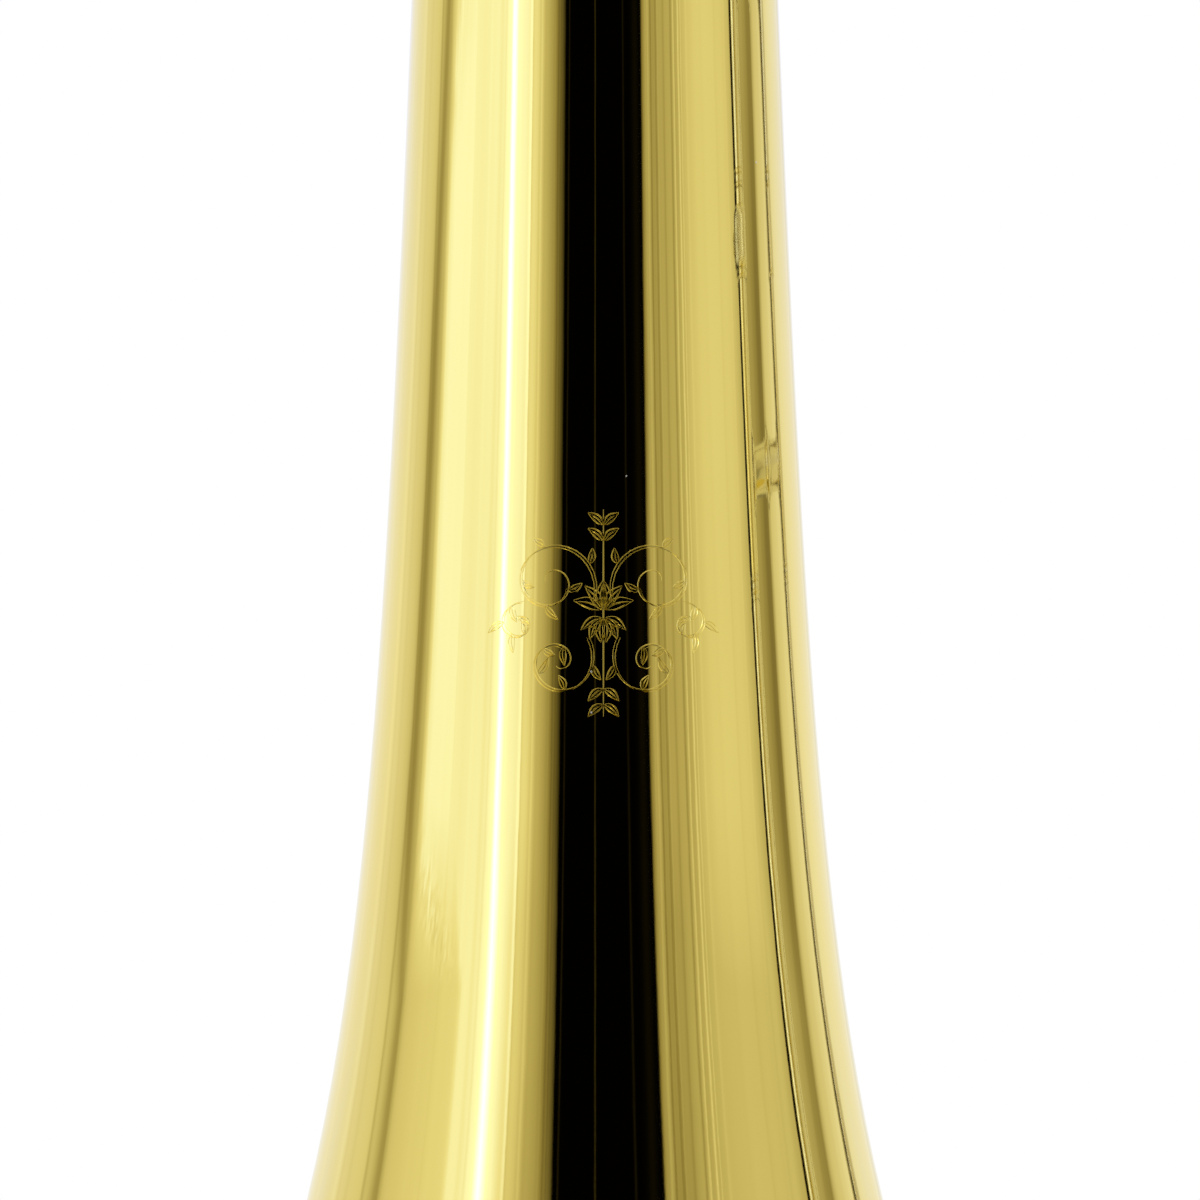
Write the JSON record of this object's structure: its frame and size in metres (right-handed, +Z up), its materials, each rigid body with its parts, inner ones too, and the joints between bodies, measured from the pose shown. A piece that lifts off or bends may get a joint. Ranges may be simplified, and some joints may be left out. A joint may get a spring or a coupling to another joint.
{
  "type": "bass trombone",
  "caption": "Slide brass instrument with a wide flared bell, a telescoping hand slide, tuning slides and rotary valves worked by thumb levers.",
  "frame": {"origin": "centre of the bell's mouth, in the plane of its rim", "axes": "+Z up the bell's axis from its mouth to its throat; +X from the bell's axis to the neck pipe and hand slide; +Y from the neck side of the hand slide to its mouthpiece side"},
  "size_m": [0.2832, 0.2414, 1.2501],
  "materials": {
    "lacquered_brass": "polished yellow brass under clear lacquer",
    "nickel_silver": "polished nickel silver",
    "silver_plate": "silver-plated brass",
    "spring_steel": "drawn wire",
    "rubber": "matt"
  },
  "bodies": {
    "bell_section": {"bell": "lacquered_brass", "bell_slide_receiver": "nickel_silver", "neck_slide_receiver": "nickel_silver", "neck_tube": "lacquered_brass", "valve_link_tube": "lacquered_brass", "gooseneck": "lacquered_brass", "slide_receiver": "nickel_silver", "lower_bell_brace": "nickel_silver", "upper_bell_brace": "nickel_silver", "f_valve_casing": "lacquered_brass", "f_valve_bearing_plate": "nickel_silver", "f_valve_cap": "lacquered_brass", "gb_valve_casing": "lacquered_brass", "gb_valve_bearing_plate": "nickel_silver", "gb_valve_cap": "lacquered_brass", "f_loop_upper_tube": "lacquered_brass", "f_loop_lower_tube": "lacquered_brass", "f_receiver_near": "nickel_silver", "f_receiver_far": "nickel_silver", "f_loop_brace": "nickel_silver", "gb_loop_upper_tube": "lacquered_brass", "gb_loop_lower_tube": "lacquered_brass", "gb_receiver_near": "nickel_silver", "gb_receiver_far": "nickel_silver", "gb_loop_brace": "nickel_silver", "lever_saddle": "nickel_silver", "f_lever_spring": "spring_steel", "gb_lever_spring": "spring_steel"},
    "tuning_slide": {"tuning_bow": "lacquered_brass", "tuning_leg_bell": "nickel_silver", "tuning_leg_neck": "nickel_silver", "tuning_slide_brace": "nickel_silver"},
    "f_tuning_slide": {"f_tuning_slide": "lacquered_brass"},
    "gb_tuning_slide": {"gb_tuning_slide": "lacquered_brass"},
    "f_rotor": {"f_rotor": "lacquered_brass", "f_stop_arm": "nickel_silver"},
    "gb_rotor": {"gb_rotor": "lacquered_brass", "gb_stop_arm": "nickel_silver"},
    "f_lever": {"f_lever": "nickel_silver"},
    "gb_lever": {"gb_lever": "nickel_silver"},
    "f_link": {"f_link": "nickel_silver"},
    "gb_link": {"gb_link": "nickel_silver"},
    "inner_slide": {"inner_tube_neck": "nickel_silver", "inner_tube_mouth": "nickel_silver", "leadpipe": "lacquered_brass", "cork_barrel_neck": "nickel_silver", "cork_barrel_mouth": "nickel_silver", "inner_brace": "nickel_silver"},
    "lock_nut": {"lock_nut": "nickel_silver"},
    "slide_lock": {"slide_lock_ring": "nickel_silver"},
    "outer_slide": {"outer_tube_neck": "nickel_silver", "outer_tube_mouth": "nickel_silver", "end_sleeve_neck": "nickel_silver", "end_sleeve_mouth": "nickel_silver", "outer_brace": "nickel_silver", "slide_crook": "lacquered_brass", "crook_bumper": "rubber", "water_key_spring": "spring_steel"},
    "water_key": {"water_key": "nickel_silver"},
    "mouthpiece": {"mouthpiece": "silver_plate"}
  },
  "joints": [
    {"name": "tuning_slide_pull", "type": "slide", "parent": "bell_section", "child": "tuning_slide", "axis": [0, 0, 1], "range_m": [0, 0.06]},
    {"name": "f_tuning_slide_pull", "type": "slide", "parent": "bell_section", "child": "f_tuning_slide", "axis": [0, 0, 1], "range_m": [0, 0.08]},
    {"name": "gb_tuning_slide_pull", "type": "slide", "parent": "bell_section", "child": "gb_tuning_slide", "axis": [0, 0, 1], "range_m": [0, 0.05]},
    {"name": "slide_angle", "type": "hinge", "parent": "bell_section", "child": "inner_slide", "pos_m": [0.143, 0, 0.275], "axis": [0, 0, 1], "range_deg": [-15, 15]},
    {"name": "lock_nut_turn", "type": "hinge", "parent": "inner_slide", "child": "lock_nut", "pos_m": [0.143, 0, 0.2722], "axis": [0, 0, 1], "range_deg": [0, 360]},
    {"name": "slide_lock_turn", "type": "hinge", "parent": "inner_slide", "child": "slide_lock", "pos_m": [0.143, 0, 0.213], "axis": [0, 0, 1], "range_deg": [0, 25]},
    {"name": "hand_slide", "type": "slide", "parent": "inner_slide", "child": "outer_slide", "axis": [0, 0, -1], "range_m": [0, 0.59]},
    {"name": "water_key_press", "type": "hinge", "parent": "outer_slide", "child": "water_key", "pos_m": [0.143, -0.0126, -0.433], "axis": [-1, 0, 0], "range_deg": [0, 8], "stiffness_Nm_per_rad": 0.05, "springref_deg": -17.19},
    {"name": "mouthpiece_pull", "type": "slide", "parent": "inner_slide", "child": "mouthpiece", "axis": [0, 0, 1], "range_m": [0, 0.06]},
    {"name": "f_lever_press", "type": "hinge", "parent": "bell_section", "child": "f_lever", "pos_m": [0.06782, 0.0221, 0.298], "axis": [0, 1, 0], "range_deg": [0, 22], "stiffness_Nm_per_rad": 0.25, "springref_deg": -28.65},
    {"name": "f_rotor_turn", "type": "hinge", "parent": "bell_section", "child": "f_rotor", "pos_m": [0.11996, 0, 0.34], "axis": [0, -1, 0], "range_deg": [0, 90]},
    {"name": "f_link_swing", "type": "hinge", "parent": "f_lever", "child": "f_link", "pos_m": [0.11147, 0.0266, 0.30649], "axis": [0, -1, 0], "range_deg": [0, 22]},
    {"name": "gb_lever_press", "type": "hinge", "parent": "bell_section", "child": "gb_lever", "pos_m": [0.06782, 0.0311, 0.298], "axis": [0, 1, 0], "range_deg": [0, 22], "stiffness_Nm_per_rad": 0.25, "springref_deg": -28.65},
    {"name": "gb_rotor_turn", "type": "hinge", "parent": "bell_section", "child": "gb_rotor", "pos_m": [0.11996, 0, 0.412], "axis": [0, -1, 0], "range_deg": [0, 90]},
    {"name": "gb_link_swing", "type": "hinge", "parent": "gb_lever", "child": "gb_link", "pos_m": [0.11147, 0.0356, 0.30649], "axis": [0, -1, 0], "range_deg": [0, 22]}
  ],
  "couplings": [
    {"joint": "f_rotor_turn", "follows": "f_lever_press", "ratio": 4.0909},
    {"joint": "f_link_swing", "follows": "f_lever_press", "ratio": 1},
    {"joint": "gb_rotor_turn", "follows": "gb_lever_press", "ratio": 4.0909},
    {"joint": "gb_link_swing", "follows": "gb_lever_press", "ratio": 1}
  ]
}
